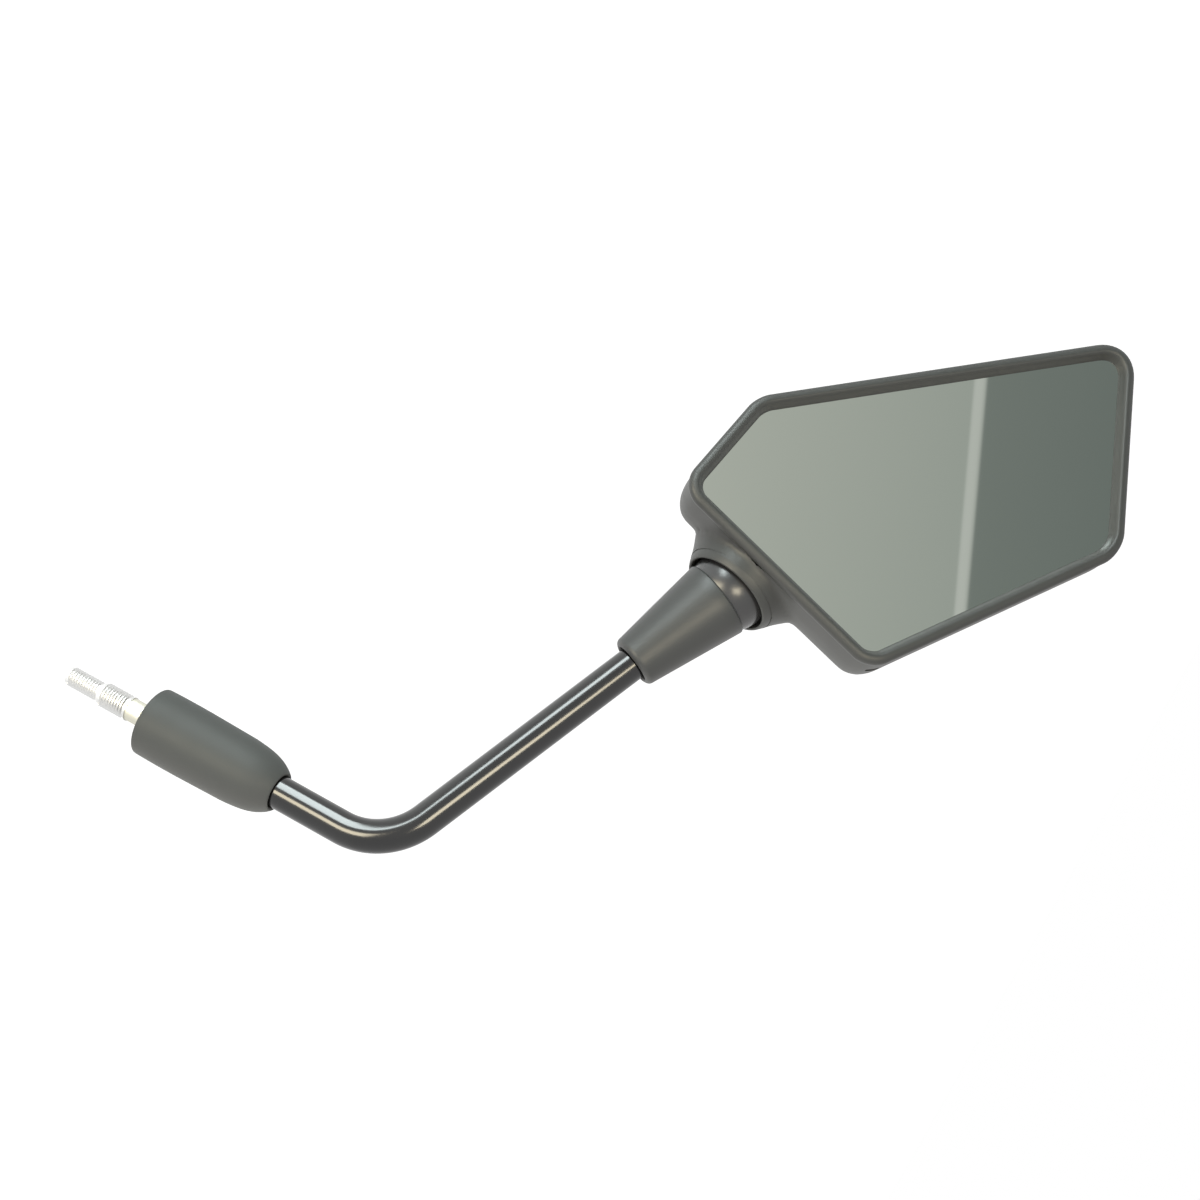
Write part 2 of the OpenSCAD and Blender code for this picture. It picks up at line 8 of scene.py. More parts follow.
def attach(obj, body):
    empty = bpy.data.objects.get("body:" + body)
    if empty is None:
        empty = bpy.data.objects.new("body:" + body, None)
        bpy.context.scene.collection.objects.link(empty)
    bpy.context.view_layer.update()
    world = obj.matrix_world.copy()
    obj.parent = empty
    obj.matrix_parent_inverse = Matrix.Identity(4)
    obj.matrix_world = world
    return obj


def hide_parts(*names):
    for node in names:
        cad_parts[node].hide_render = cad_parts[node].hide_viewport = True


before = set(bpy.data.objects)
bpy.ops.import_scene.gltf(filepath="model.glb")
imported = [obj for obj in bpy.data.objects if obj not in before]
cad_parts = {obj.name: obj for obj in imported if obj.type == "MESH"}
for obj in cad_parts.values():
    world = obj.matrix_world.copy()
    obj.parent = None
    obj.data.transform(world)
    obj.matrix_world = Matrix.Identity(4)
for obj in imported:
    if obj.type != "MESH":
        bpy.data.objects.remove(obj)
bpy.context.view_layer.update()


# Adapter: turned from hexagonal steel bar and zinc plated. A small M8 end, the M10 mounting thread
# and a plain neck stand below a hexagon, whose tapped hole takes the stay. The plating on the plain
# neck is duller.
def new_material(name, colour, roughness):
    """A material of one even colour, and its shader."""
    mat = bpy.data.materials.new(name)
    mat.use_nodes = True
    shader = mat.node_tree.nodes["Principled BSDF"]
    shader.inputs["Base Color"].default_value = (*colour, 1)
    shader.inputs["Roughness"].default_value = roughness
    return mat, shader


def add_noise(tree, vector, scale, detail):
    """A noise pattern, read at the given vector."""
    noise = tree.nodes.new("ShaderNodeTexNoise")
    noise.inputs["Scale"].default_value = scale
    noise.inputs["Detail"].default_value = detail
    tree.links.new(vector, noise.inputs["Vector"])
    return noise.outputs["Fac"]


def add_grain(tree, vector, scale, detail, strength, height):
    """Fine unevenness of a surface."""
    bump = tree.nodes.new("ShaderNodeBump")
    bump.inputs["Strength"].default_value = strength
    bump.inputs["Distance"].default_value = height
    tree.links.new(add_noise(tree, vector, scale, detail), bump.inputs["Height"])
    tree.links.new(bump.outputs["Normal"], tree.nodes["Principled BSDF"].inputs["Normal"])


def metal(name, colour, roughness, grain):
    """Bare or plated metal with fine turning marks across the Z axis."""
    mat, shader = new_material(name, colour, roughness)
    shader.inputs["Metallic"].default_value = 1
    tree = mat.node_tree
    place = tree.nodes.new("ShaderNodeTexCoord")
    squeeze = tree.nodes.new("ShaderNodeMapping")
    squeeze.inputs["Scale"].default_value = (60, 60, 2500)
    tree.links.new(place.outputs["Object"], squeeze.inputs["Vector"])
    add_grain(tree, squeeze.outputs["Vector"], 1, 2, grain, 0.00005)
    return mat


def start_editing():
    """Only the active object is selected, with all of its mesh, in edit mode."""
    piece = bpy.context.object
    bpy.ops.object.select_all(action="DESELECT")
    piece.select_set(True)
    bpy.ops.object.mode_set(mode="EDIT")
    bpy.ops.mesh.select_mode(type="VERT")
    bpy.ops.mesh.select_all(action="SELECT")
    return piece


def turn(name, profile, sides=96):
    """A round piece about Z: one ring is extruded and scaled along (radius, height) points."""
    bpy.ops.object.select_all(action="DESELECT")
    r, z = profile[0]
    bpy.ops.mesh.primitive_circle_add(vertices=sides, radius=r, location=(0, 0, z))
    bpy.ops.object.transform_apply(location=True, rotation=False, scale=False)
    piece = start_editing()
    for (r_was, z_was), (r, z) in zip(profile, profile[1:]):
        bpy.ops.mesh.extrude_region_move(TRANSFORM_OT_translate={"value": (0, 0, z - z_was)})
        bpy.ops.transform.resize(value=(r / r_was, r / r_was, 1), center_override=(0, 0, z))
    bpy.ops.mesh.select_all(action="SELECT")
    bpy.ops.mesh.remove_doubles(threshold=1e-6)
    bpy.ops.mesh.fill_holes(sides=0)
    bpy.ops.mesh.select_all(action="SELECT")
    bpy.ops.mesh.normals_make_consistent(inside=False)
    bpy.ops.object.mode_set(mode="OBJECT")
    piece.name = name
    return piece


def finish_piece(piece, mat, body, nodes=(), angle=35):
    """Smooths a piece by angle, gives it its material and lets it ride on its body."""
    piece.data.materials.clear()
    piece.data.materials.append(mat)
    bpy.ops.object.select_all(action="DESELECT")
    piece.select_set(True)
    bpy.context.view_layer.objects.active = piece
    bpy.ops.object.shade_smooth_by_angle(angle=radians(angle))
    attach(piece, body)
    if nodes:
        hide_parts(*nodes)


def apply_modifier(piece, kind, **settings):
    """Gives the active piece a modifier with these settings and applies it."""
    modifier = piece.modifiers.new(kind, kind)
    for setting, value in settings.items():
        setattr(modifier, setting, value)
    bpy.ops.object.modifier_apply(modifier=modifier.name)


def screw_thread(name, radius, low, high):
    """The ridge of a thread: the Screw modifier winds a small triangle, closed at both ends."""
    bpy.ops.object.select_all(action="DESELECT")
    bpy.ops.mesh.primitive_circle_add(vertices=3, radius=thread_depth)
    ridge = bpy.context.object
    foot_r, half_foot = radius - thread_depth - 0.0001, 0.48 * thread_pitch
    corners = ((radius, 0), (foot_r, -half_foot), (foot_r, half_foot))
    for vertex, (x, z) in zip(ridge.data.vertices, corners):
        vertex.co = (x, 0, low + 0.5 * thread_pitch + z)
    apply_modifier(
        ridge, "SCREW", screw_offset=thread_pitch, iterations=int((high - low) / thread_pitch) - 1,
        steps=thread_steps, render_steps=thread_steps, use_merge_vertices=True)
    start_editing()
    bpy.ops.mesh.fill_holes(sides=4)
    bpy.ops.mesh.select_all(action="SELECT")
    bpy.ops.mesh.normals_make_consistent(inside=False)
    bpy.ops.object.mode_set(mode="OBJECT")
    ridge.name = name
    return ridge


def join(name, *pieces):
    """Several meshes as one piece."""
    bpy.ops.object.select_all(action="DESELECT")
    for piece in pieces:
        piece.select_set(True)
    bpy.context.view_layer.objects.active = pieces[0]
    bpy.ops.object.join()
    pieces[0].name = name
    return pieces[0]


tip_r, stud_r, neck_r, axis_r = 0.004, 0.005, 0.0046, 0.0001
tip_end, stud_end, neck_top, hexagon_top = -0.030, -0.014, 0.014, 0.030
thread_depth, thread_pitch, thread_steps = 0.0006, 0.00125, 40
tip_root_r, stud_root_r = tip_r - thread_depth, stud_r - thread_depth
end_chamfer, thread_start, neck_flare = 0.0008, 0.0004, 0.0004
across_flats = 0.017

zinc = metal("bright zinc plating", (0.72, 0.72, 0.71), 0.36, 0.05)
pale_zinc = metal("pale passivated zinc", (0.62, 0.61, 0.53), 0.5, 0.1)
core = turn("adapter_core", [
    (axis_r, tip_end), (tip_r - end_chamfer, tip_end), (tip_root_r, tip_end + 0.0006),
    (tip_root_r, stud_end - 0.0004), (tip_r - 0.0001, stud_end), (stud_r - end_chamfer, stud_end),
    (stud_root_r, stud_end + 0.0006), (stud_root_r, -0.0004), (stud_r, -0.0003), (stud_r, 0),
    (axis_r, 0),
])
tip_thread = screw_thread("tip_thread", tip_r, tip_end + thread_start, stud_end - thread_start)
stud_thread = screw_thread("stud_thread", stud_r, stud_end + thread_start, -0.0003)
adapter = join("adapter", core, tip_thread, stud_thread)
finish_piece(adapter, zinc, "adapter", angle=40)

plain_neck = turn("adapter_neck", [
    (axis_r, -0.0001), (neck_r, -0.0001), (neck_r, neck_top - neck_flare),
    (neck_r + neck_flare, neck_top), (neck_r + neck_flare, neck_top + 0.0002),
    (axis_r, neck_top + 0.0002),
])
finish_piece(plain_neck, pale_zinc, "adapter")

bpy.ops.object.select_all(action="DESELECT")
bpy.ops.mesh.primitive_cylinder_add(
    vertices=6, radius=across_flats / 2 / cos(pi / 6), depth=hexagon_top - neck_top,
    location=(0, 0, (hexagon_top + neck_top) / 2))
bpy.ops.object.transform_apply(location=True, rotation=False, scale=False)
hexagon = start_editing()
bpy.ops.mesh.bevel(offset=0.0004, segments=2)
bpy.ops.object.mode_set(mode="OBJECT")
hexagon.name = "adapter_hexagon"
finish_piece(hexagon, zinc, "adapter", ["mount_adapter"])


# Lock nut: a plated hexagonal nut on the stay's thread, tightened against the adapter under the
# boot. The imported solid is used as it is, only with its finish.
def dress(node, mat):
    """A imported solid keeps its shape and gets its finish."""
    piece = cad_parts[node]
    piece.data.materials.clear()
    piece.data.materials.append(mat)


dress("lock_nut", metal("dull zinc plating", (0.60, 0.59, 0.56), 0.38, 0.3))


# Stay: a cold bent steel rod with a smooth gloss black coating. Its lower end is threaded for the
# nut and its upper end is turned down to a spigot for the ball.
def plastic(name, colour, roughness, specular, grain, grain_scale, mottle=0.0):
    """A coated or moulded surface with a fine grain and slight changes of gloss."""
    mat, shader = new_material(name, colour, roughness)
    shader.inputs["Specular IOR Level"].default_value = specular
    tree = mat.node_tree
    place = tree.nodes.new("ShaderNodeTexCoord").outputs["Object"]
    add_grain(tree, place, grain_scale, 4, grain, 0.00006)
    if mottle:
        gloss = tree.nodes.new("ShaderNodeMapRange")
        gloss.inputs["To Min"].default_value = roughness - mottle
        gloss.inputs["To Max"].default_value = roughness + mottle
        tree.links.new(add_noise(tree, place, 90, 2), gloss.inputs["Value"])
        tree.links.new(gloss.outputs["Result"], shader.inputs["Roughness"])
    return mat


def draw_out(direction, length, r_was, r):
    """Extrudes the selected end of the rod and scales it to its new radius."""
    bpy.ops.mesh.extrude_region_move(
        TRANSFORM_OT_translate={"value": tuple(length * direction)})
    bpy.ops.transform.resize(value=(r / r_was,) * 3)


rod_r, rod_thread_r, spigot_r = 0.0065, 0.005, 0.0045
rod_thread_low, rod_low, corner_height, ball_reach = 0.018, 0.0401, 0.118, 0.164
thread_chamfer, rod_step = 0.0008, 0.001
bend_angle, bend_r = radians(69), 0.028
bend_set = bend_r * tan(bend_angle / 2)
bend_low = corner_height - bend_set
spigot_length, spigot_bare = 0.0155, 0.006
straight = ball_reach - bend_set - spigot_length - rod_step
up = Vector((0, 0, 1))
along = Vector((-sin(bend_angle), 0, cos(bend_angle)))

bpy.ops.object.select_all(action="DESELECT")
bpy.ops.mesh.primitive_circle_add(
    vertices=96, radius=rod_thread_r - thread_chamfer, fill_type="NGON",
    location=(0, 0, rod_thread_low))
bpy.ops.object.transform_apply(location=True, rotation=False, scale=False)
rod = start_editing()
draw_out(up, thread_chamfer, rod_thread_r - thread_chamfer, rod_thread_r)
draw_out(up, rod_low - rod_thread_low - thread_chamfer, rod_thread_r, rod_thread_r)
draw_out(up, rod_step, rod_thread_r, rod_r)
draw_out(up, bend_low - rod_low - rod_step, rod_r, rod_r)
bpy.ops.mesh.spin(steps=48, angle=bend_angle, center=(-bend_r, 0, bend_low), axis=(0, 1, 0))
draw_out(along, straight, rod_r, rod_r)
draw_out(along, rod_step, rod_r, spigot_r)
draw_out(along, spigot_bare, spigot_r, spigot_r)
bpy.ops.mesh.select_all(action="SELECT")
bpy.ops.mesh.remove_doubles(threshold=1e-6)
bpy.ops.mesh.normals_make_consistent(inside=False)
bpy.ops.object.mode_set(mode="OBJECT")
rod.name = "stay"
rod_black = plastic("gloss black coating", (0.004, 0.004, 0.004), 0.17, 0.65, 0.01, 900)
finish_piece(rod, rod_black, "stay", ["stay_rod"], angle=30)


# Ball: turned and polished steel, pressed on the stay's spigot, so that the head can turn on it.
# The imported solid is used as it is, only with its finish.
dress("pivot_ball", metal("polished steel", (0.75, 0.75, 0.75), 0.12, 0.05))


# Boot: moulded black rubber, open at the bottom, pushed over the hexagon and the nut until it
# grips the rod. Its skin is satin with a fine grain, its mouth is cut square and its upper end
# closes in a blunt shoulder.
def smooth_curve(points, steps):
    """More (radius, height) points on a smooth curve through the given ones."""
    ends = [points[0], *points, points[-1]]
    made = []
    for a, b, c, d in zip(ends, ends[1:], ends[2:], ends[3:]):
        for k in range(steps):
            t = k / steps
            made.append(tuple(
                0.5 * (2 * b[i] + (c[i] - a[i]) * t
                       + (2 * a[i] - 5 * b[i] + 4 * c[i] - d[i]) * t ** 2
                       + (3 * b[i] - a[i] - 3 * c[i] + d[i]) * t ** 3) for i in (0, 1)))
    return made + [points[-1]]


boot_low, boot_length, boot_wall, boot_grip = 0.0112, 0.0589, 0.0024, 0.012
boot_top = boot_low + boot_length
mouth_r, shoulder_r = 0.0138, 0.0133
hollow_r, grip_r = mouth_r - boot_wall, rod_r + 0.0001
outside = smooth_curve([
    (mouth_r - 0.0009, boot_low), (mouth_r - 0.0003, boot_low + 0.00025),
    (mouth_r, boot_low + 0.0009), (mouth_r + 0.0001, boot_low + 0.0155),
    (shoulder_r + 0.0002, boot_low + 0.0355), (shoulder_r, boot_low + 0.0415),
    (shoulder_r - 0.0008, boot_top - 0.0105), (shoulder_r - 0.0020, boot_top - 0.0060),
    (shoulder_r - 0.0034, boot_top - 0.0030), (shoulder_r - 0.0047, boot_top - 0.0010),
    (rod_r + 0.0012, boot_top - 0.0001), (rod_r + 0.0005, boot_top - 0.0003),
    (grip_r, boot_top - 0.0010),
], 5)
inside = [
    (grip_r, boot_top - boot_grip), (shoulder_r - boot_wall, boot_top - boot_grip - 0.006),
    (hollow_r, boot_low + 0.0155), (hollow_r, boot_low + 0.001), (hollow_r + 0.0005, boot_low),
]
boot = turn("boot", outside + inside + outside[:1], sides=128)
rubber = plastic("satin black rubber", (0.064, 0.066, 0.062), 0.55, 0.22, 0.3, 1500, mottle=0.05)
finish_piece(boot, rubber, "boot", ["lower_boot"], angle=50)


# Joint cover: a loose cone of moulded black plastic that hides the joint. A web inside keeps it in
# the middle of the rod, its narrow end is rolled in around the rod, and its wide end clears the
# round nose. Heights are measured from the ball's centre, along the stay.
def settle(piece, place):
    """Moves a finished mesh to its place and leaves its object at the origin."""
    piece.data.transform(place)
    return piece


ball_frame = (Matrix.Translation((0, 0, corner_height)) @ Matrix.Rotation(-bend_angle, 4, "Y")
              @ Matrix.Translation((0, 0, ball_reach)))
cover_far, cover_near, cover_wall = -0.0475, -0.006, 0.002
cover_wide_r, cover_narrow_r, cover_hole_r = 0.0156, 0.0105, 0.0077
end_round, mouth_round, cone_steps = 0.0024, 0.0006, 8
cone_low, cone_rise = cover_far + end_round, cover_near - mouth_round - cover_far - end_round
web_low, web_high, hole_low = cover_far + 0.009, cover_far + 0.012, cover_far + 0.0025
narrow_hollow_r = cover_narrow_r - cover_wall
cone = [
    (cover_hole_r, hole_low), (cover_hole_r, cover_far + 0.0007),
    (cover_hole_r + 0.0003, cover_far + 0.0002), (cover_hole_r + 0.0006, cover_far),
]
cone += [
    (cover_narrow_r - end_round + end_round * sin(a * pi / 20),
     cover_far + end_round - end_round * cos(a * pi / 20)) for a in range(1, 11)
]
cone += [
    (cover_narrow_r + (cover_wide_r - cover_narrow_r) * k / cone_steps,
     cone_low + cone_rise * k / cone_steps) for k in range(1, cone_steps + 1)
]
cone += [
    (cover_wide_r - 0.0001, cover_near - 0.0003), (cover_wide_r - 0.0004, cover_near - 0.00005),
    (cover_wide_r - 0.0007, cover_near), (0.01516, cover_near), (0.01380, -0.00868),
    (narrow_hollow_r + 0.0016, cover_far + 0.015), (narrow_hollow_r + 0.001, web_high),
    (rod_r + 0.0001, web_high), (rod_r + 0.0001, web_low),
    (narrow_hollow_r, cover_far + 0.0075), (cover_hole_r, hole_low),
]
cover = settle(turn("joint_cover_cone", cone, sides=128), ball_frame)
cover_black = plastic(
    "satin black cover plastic", (0.042, 0.043, 0.041), 0.43, 0.4, 0.14, 1400, mottle=0.04)
finish_piece(cover, cover_black, "cover", ["joint_cover"])


# Ball seats: natural nylon, one ring in front of the ball and a cup behind it, pressed on the ball
# by a short steel spring between a washer and a disc that a sprung ring holds. Four plated screws
# hold the bracket.
nylon = plastic("natural nylon", (0.82, 0.80, 0.70), 0.45, 0.5, 0.1, 900)
spring_steel = metal("oiled spring steel", (0.35, 0.35, 0.37), 0.35, 0.1)
plated_steel = metal("plated steel", (0.68, 0.68, 0.67), 0.3, 0.15)
for mat, dressed in (
        (nylon, ("front_seat", "ball_cup")),
        (spring_steel, ("friction_spring", "retaining_ring")),
        (plated_steel, ("pressure_washer", "spring_disc", "bracket_screw_1", "bracket_screw_2",
                        "bracket_screw_3", "bracket_screw_4"))):
    for node in dressed:
        dress(node, mat)


# Pivot bracket: a casting with a gloss black coating. Its round nose shows between the cover and
# the head. Behind the nose a bored barrel holds the seats and the spring, and a foot is screwed to
# the shell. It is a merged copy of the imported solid, so that it can be shaded smooth.
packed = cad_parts["pivot_bracket"]
bracket = packed.copy()
bracket.data = packed.data.copy()
bracket.parent = None
bpy.context.collection.objects.link(bracket)
bpy.context.view_layer.objects.active = bracket
start_editing()
bpy.ops.mesh.remove_doubles(threshold=1e-6)
bpy.ops.object.mode_set(mode="OBJECT")
bracket.name = "bracket"
bracket_black = plastic("gloss black casting", (0.03, 0.03, 0.03), 0.27, 0.6, 0.1, 700)
finish_piece(bracket, bracket_black, "head", ["pivot_bracket"], angle=30)


# Head shell: one moulding in satin black plastic, five-sided and rounded at the back, shallower
# towards its outer end. A flared neck grows out of its lower inner edge and ends in a round lip
# around the nose. A slot at its lowest corner lets water out.
head_swivel, head_tilt, head_twist = radians(139.5), radians(16), radians(149)
neck_frame = (ball_frame @ Matrix.Rotation(head_swivel, 4, "Z")
              @ Matrix.Rotation(head_tilt, 4, "Y") @ Matrix.Rotation(head_twist, 4, "Z"))
neck_lean, ball_depth, ball_along, ball_outside = radians(5), 0.023, 0.035, 0.0125
foot_frame = (neck_frame @ Matrix.Rotation(pi / 2 + neck_lean, 4, "Y")
              @ Matrix.Rotation(pi, 4, "Z") @ Matrix.Translation((0, 0, ball_depth)))
head_length, middle = 0.181, Vector((0.0905, 0.05175))
glass_corners = [Vector(p) for p in (
    (0, 0.073), (0.052, 0), (0.1565, 0.0285), (head_length, 0.1035), (0.032, 0.0995))]
glass_radii = (0.005, 0.006, 0.010, 0.0065, 0.009)
neck_edge = (glass_corners[1] - glass_corners[0]).normalized()
edge_outward = Vector((neck_edge.y, -neck_edge.x))
ball_spot = glass_corners[0] + ball_along * neck_edge + ball_outside * edge_outward
glass_frame = (foot_frame @ Matrix.Rotation(-atan2(-edge_outward.y, -edge_outward.x), 4, "Z")
               @ Matrix.Translation((-ball_spot.x, -ball_spot.y, 0)))


def pick(mesh, kind, test):
    """Selects the vertices, edges or faces in edit mode whose middle passes the test."""
    bpy.ops.mesh.select_all(action="DESELECT")
    edit = bmesh.from_edit_mesh(mesh)
    for item in getattr(edit, kind):
        spot = item.co if kind == "verts" else (
            item.calc_center_median() if kind == "faces"
            else (item.verts[0].co + item.verts[1].co) / 2)
        if test(spot):
            item.select = True
    edit.select_flush_mode()
    bmesh.update_edit_mesh(mesh)


def five_sided_face(grow, z, facing):
    """A face with the glass's outline, grown and rounded, facing forwards (1) or back (-1)."""
    bpy.ops.object.select_all(action="DESELECT")
    bpy.ops.mesh.primitive_circle_add(vertices=5, radius=0.1, fill_type="NGON")
    piece = bpy.context.object
    rounding = []
    for i, corner in enumerate(glass_corners):
        arrive = (corner - glass_corners[i - 1]).normalized()
        leave = (glass_corners[(i + 1) % 5] - corner).normalized()
        n1, n2 = Vector((arrive.y, -arrive.x)), Vector((leave.y, -leave.x))
        spot = corner + grow * (n1 + n2) / (1 + n1.dot(n2))
        piece.data.vertices[i].co = (spot.x, spot.y, z)
        rounding.append((spot, (glass_radii[i] + grow) * tan(acos(n1.dot(n2)) / 2)))
    start_editing()
    for spot, reach in rounding:
        pick(piece.data, "verts", lambda co: (co.xy - spot).length < 1e-5)
        bpy.ops.mesh.bevel(affect="VERTICES", offset=reach, segments=12, profile=0.5)
    bpy.ops.mesh.select_mode(type="FACE")
    bpy.ops.mesh.select_all(action="SELECT")
    edit = bmesh.from_edit_mesh(piece.data)
    edit.normal_update()
    edit.faces.ensure_lookup_table()
    if edit.faces[0].normal.z * facing < 0:
        bpy.ops.mesh.flip_normals()
    return piece


shell_margin, shell_front, shell_side = 0.0051, 0.003, 0.017
back_from, outer_loss = -0.010, 0.32
shell = five_sided_face(shell_margin, shell_front, -1)
bpy.ops.mesh.extrude_region_move(TRANSFORM_OT_translate={"value": (0, 0, -shell_side)})
for inwards, back in ((0.0005, 0.007), (0.0011, 0.006), (0.0021, 0.005), (0.0033, 0.004)):
    bpy.ops.mesh.inset(thickness=inwards, depth=back)
size_was = 1
for size, back in ((0.92, 0.0032), (0.82, 0.0026), (0.66, 0.0016), (0.46, 0.0014),
                   (0.23, 0.0008), (0.02, 0.0004)):
    bpy.ops.mesh.extrude_region_move(TRANSFORM_OT_translate={"value": (0, 0, -back)})
    bpy.ops.transform.resize(
        value=(size / size_was, size / size_was, 1), center_override=(*middle, 0))
    size_was = size
bpy.ops.object.mode_set(mode="OBJECT")
for vertex in shell.data.vertices:
    if vertex.co.z < back_from:
        kept_share = 1 - outer_loss * vertex.co.x / head_length
        vertex.co.z = back_from + (vertex.co.z - back_from) * kept_share


def turn_oval(name, levels):
    """A piece about the neck's axis, through levels of (height, front, back, side) reaches."""
    bpy.ops.object.select_all(action="DESELECT")
    z_was, front, back, wide = levels[0]
    bpy.ops.mesh.primitive_circle_add(
        vertices=96, radius=wide, fill_type="NGON", location=(0, 0, z_was))
    bpy.ops.object.transform_apply(location=True, rotation=False, scale=False)
    piece = start_editing()
    middle_was, deep_was, wide_was = (front - back) / 2, (front + back) / 2, wide
    for z, front, back, wide in levels[1:]:
        centre, deep = (front - back) / 2, (front + back) / 2
        bpy.ops.mesh.extrude_region_move(
            TRANSFORM_OT_translate={"value": (centre - middle_was, 0, z - z_was)})
        bpy.ops.transform.resize(
            value=(deep / deep_was, wide / wide_was, 1), center_override=(centre, 0, z))
        z_was, middle_was, deep_was, wide_was = z, centre, deep, wide
    bpy.ops.mesh.select_all(action="SELECT")
    bpy.ops.mesh.normals_make_consistent(inside=False)
    bpy.ops.object.mode_set(mode="OBJECT")
    piece.name = name
    return piece


flare = turn_oval("neck_flare", [
    (-0.0045, 0.0185, 0.0185, 0.0185), (-0.0015, 0.0190, 0.0190, 0.0190),
    (0.0000, 0.0197, 0.0196, 0.0197), (0.0012, 0.0202, 0.0199, 0.0203),
    (0.0034, 0.0204, 0.0197, 0.0215), (0.0054, 0.0203, 0.0187, 0.0228),
    (0.0070, 0.0200, 0.0183, 0.0243), (0.0088, 0.0182, 0.0179, 0.0248),
    (0.0106, 0.0162, 0.0175, 0.0220), (0.0170, 0.0162, 0.0171, 0.0185),
    (0.0240, 0.0150, 0.0160, 0.0150),
])
barrel = turn_oval("neck_barrel", [
    (0.0000, 0.0188, 0.0188, 0.0188), (0.0070, 0.0182, 0.0186, 0.0184),
    (0.0106, 0.0162, 0.0175, 0.0171), (0.0170, 0.0162, 0.0171, 0.0169),
    (0.0240, 0.0160, 0.0167, 0.0167), (0.0290, 0.0150, 0.0152, 0.0152),
    (0.0299, 0.0130, 0.0135, 0.0133),
])
neck_in_head = glass_frame.inverted() @ neck_frame
for piece in (flare, barrel):
    settle(piece, neck_in_head)
shell = join("head_shell", shell, flare, barrel)
apply_modifier(shell, "REMESH", mode="VOXEL", voxel_size=0.0012)
apply_modifier(shell, "SMOOTH", factor=0.5, iterations=14)

rim_seat_z, neck_cut, shell_wall = -0.0021, 0.0005, 0.0024
start_editing()
bpy.ops.mesh.bisect(plane_co=(0, 0, rim_seat_z), plane_no=(0, 0, 1), clear_outer=True)
bpy.ops.mesh.select_all(action="SELECT")
mouth_plane = neck_in_head @ Vector((0, 0, neck_cut))
mouth_normal = (neck_in_head.to_3x3() @ Vector((0, 0, 1))).normalized()
bpy.ops.mesh.bisect(plane_co=mouth_plane, plane_no=mouth_normal, clear_inner=True)
bpy.ops.mesh.select_all(action="SELECT")
bpy.ops.mesh.remove_doubles(threshold=0.0004)
bpy.ops.object.mode_set(mode="OBJECT")
apply_modifier(shell, "SOLIDIFY", thickness=shell_wall, offset=-1)

slot_x, slot_y, slot_z = 0.055, -0.004, -0.012
slot_wide, slot_through, slot_high, slot_round = 0.0056, 0.008, 0.0026, 0.0012
bpy.ops.object.select_all(action="DESELECT")
bpy.ops.mesh.primitive_cube_add(
    size=1, location=(slot_x, slot_y, slot_z), scale=(slot_wide, slot_through, slot_high))
bpy.ops.object.transform_apply(location=True, rotation=False, scale=True)
drain = start_editing()
pick(drain.data, "edges", lambda co: (
    abs(abs(co.x - slot_x) - slot_wide / 2) < 1e-6 and abs(co.y - slot_y) < 1e-6))
bpy.ops.mesh.bevel(offset=slot_round, segments=4)
bpy.ops.object.mode_set(mode="OBJECT")
bpy.context.view_layer.objects.active = shell
apply_modifier(shell, "BOOLEAN", operation="DIFFERENCE", object=drain)
bpy.data.objects.remove(drain)
settle(shell, glass_frame)
shell_black = plastic(
    "satin black shell plastic", (0.037, 0.038, 0.035), 0.45, 0.4, 0.10, 1300, mottle=0.04)
finish_piece(shell, shell_black, "head", ["housing"], angle=60)

neck_mouth_r, lip_front, lip_back = 0.0173, -0.0025, 0.0045
lip = [
    (neck_mouth_r, lip_back), (neck_mouth_r, lip_front + 0.0004),
    (neck_mouth_r + 0.0002, lip_front + 0.0001), (neck_mouth_r + 0.0005, lip_front),
]
lip += smooth_curve([
    (neck_mouth_r + 0.0007, lip_front), (neck_mouth_r + 0.0011, lip_front + 0.0003),
    (neck_mouth_r + 0.0019, lip_front + 0.0017), (neck_mouth_r + 0.0024, lip_front + 0.0030),
    (neck_mouth_r + 0.0025, lip_front + 0.0044), (neck_mouth_r + 0.0020, lip_front + 0.0062),
], 4)
lip += [(neck_mouth_r, lip_back)]
neck_lip = settle(turn("neck_lip", lip, sides=128), neck_frame)
finish_piece(neck_lip, shell_black, "head", angle=40)


# Rim: the shell's front edge, a rounded bead that laps over the glass all round and holds it in. A
# fine step runs between it and the side of the shell. The bead is inset forwards from its widest
# outline and the step backwards, and a bridge closes the ring on the inside.
rim_margin, rim_wide_z = 0.0058, -0.0015
rim = five_sided_face(rim_margin, rim_wide_z, 1)
bpy.ops.mesh.extrude_region_move(TRANSFORM_OT_translate={"value": (0, 0, 0.00001)})
for inwards, rise_by in (
        (0.00004, 0.0006), (0.00012, 0.0006), (0.0003, 0.0006), (0.0005, 0.0005),
        (0.0008, 0.0004), (0.0008, 0.0002), (0.0006, 0.0000), (0.0006, -0.0004),
        (0.0006, -0.0009), (0.0005, -0.0010), (0.0005, -0.0011), (0.0003, -0.0005),
        (0.00014, -0.0001)):
    bpy.ops.mesh.inset(thickness=inwards, depth=rise_by)
bpy.ops.mesh.delete(type="FACE")
pick(rim.data, "faces", lambda co: (
    abs(co.z - rim_wide_z) < 1e-6 and (co.xy - middle).length < 0.02))
for inwards, back in ((0.0002, 0.0009), (0.0004, 0.0003), (0.0002, 0.0006), (0.0012, 0.0001)):
    bpy.ops.mesh.inset(thickness=inwards, depth=back)
bpy.ops.mesh.delete(type="FACE")
bpy.ops.mesh.select_mode(type="EDGE")
bpy.ops.mesh.select_all(action="DESELECT")
bpy.ops.mesh.select_non_manifold()
bpy.ops.mesh.bridge_edge_loops()
bpy.ops.mesh.select_all(action="SELECT")
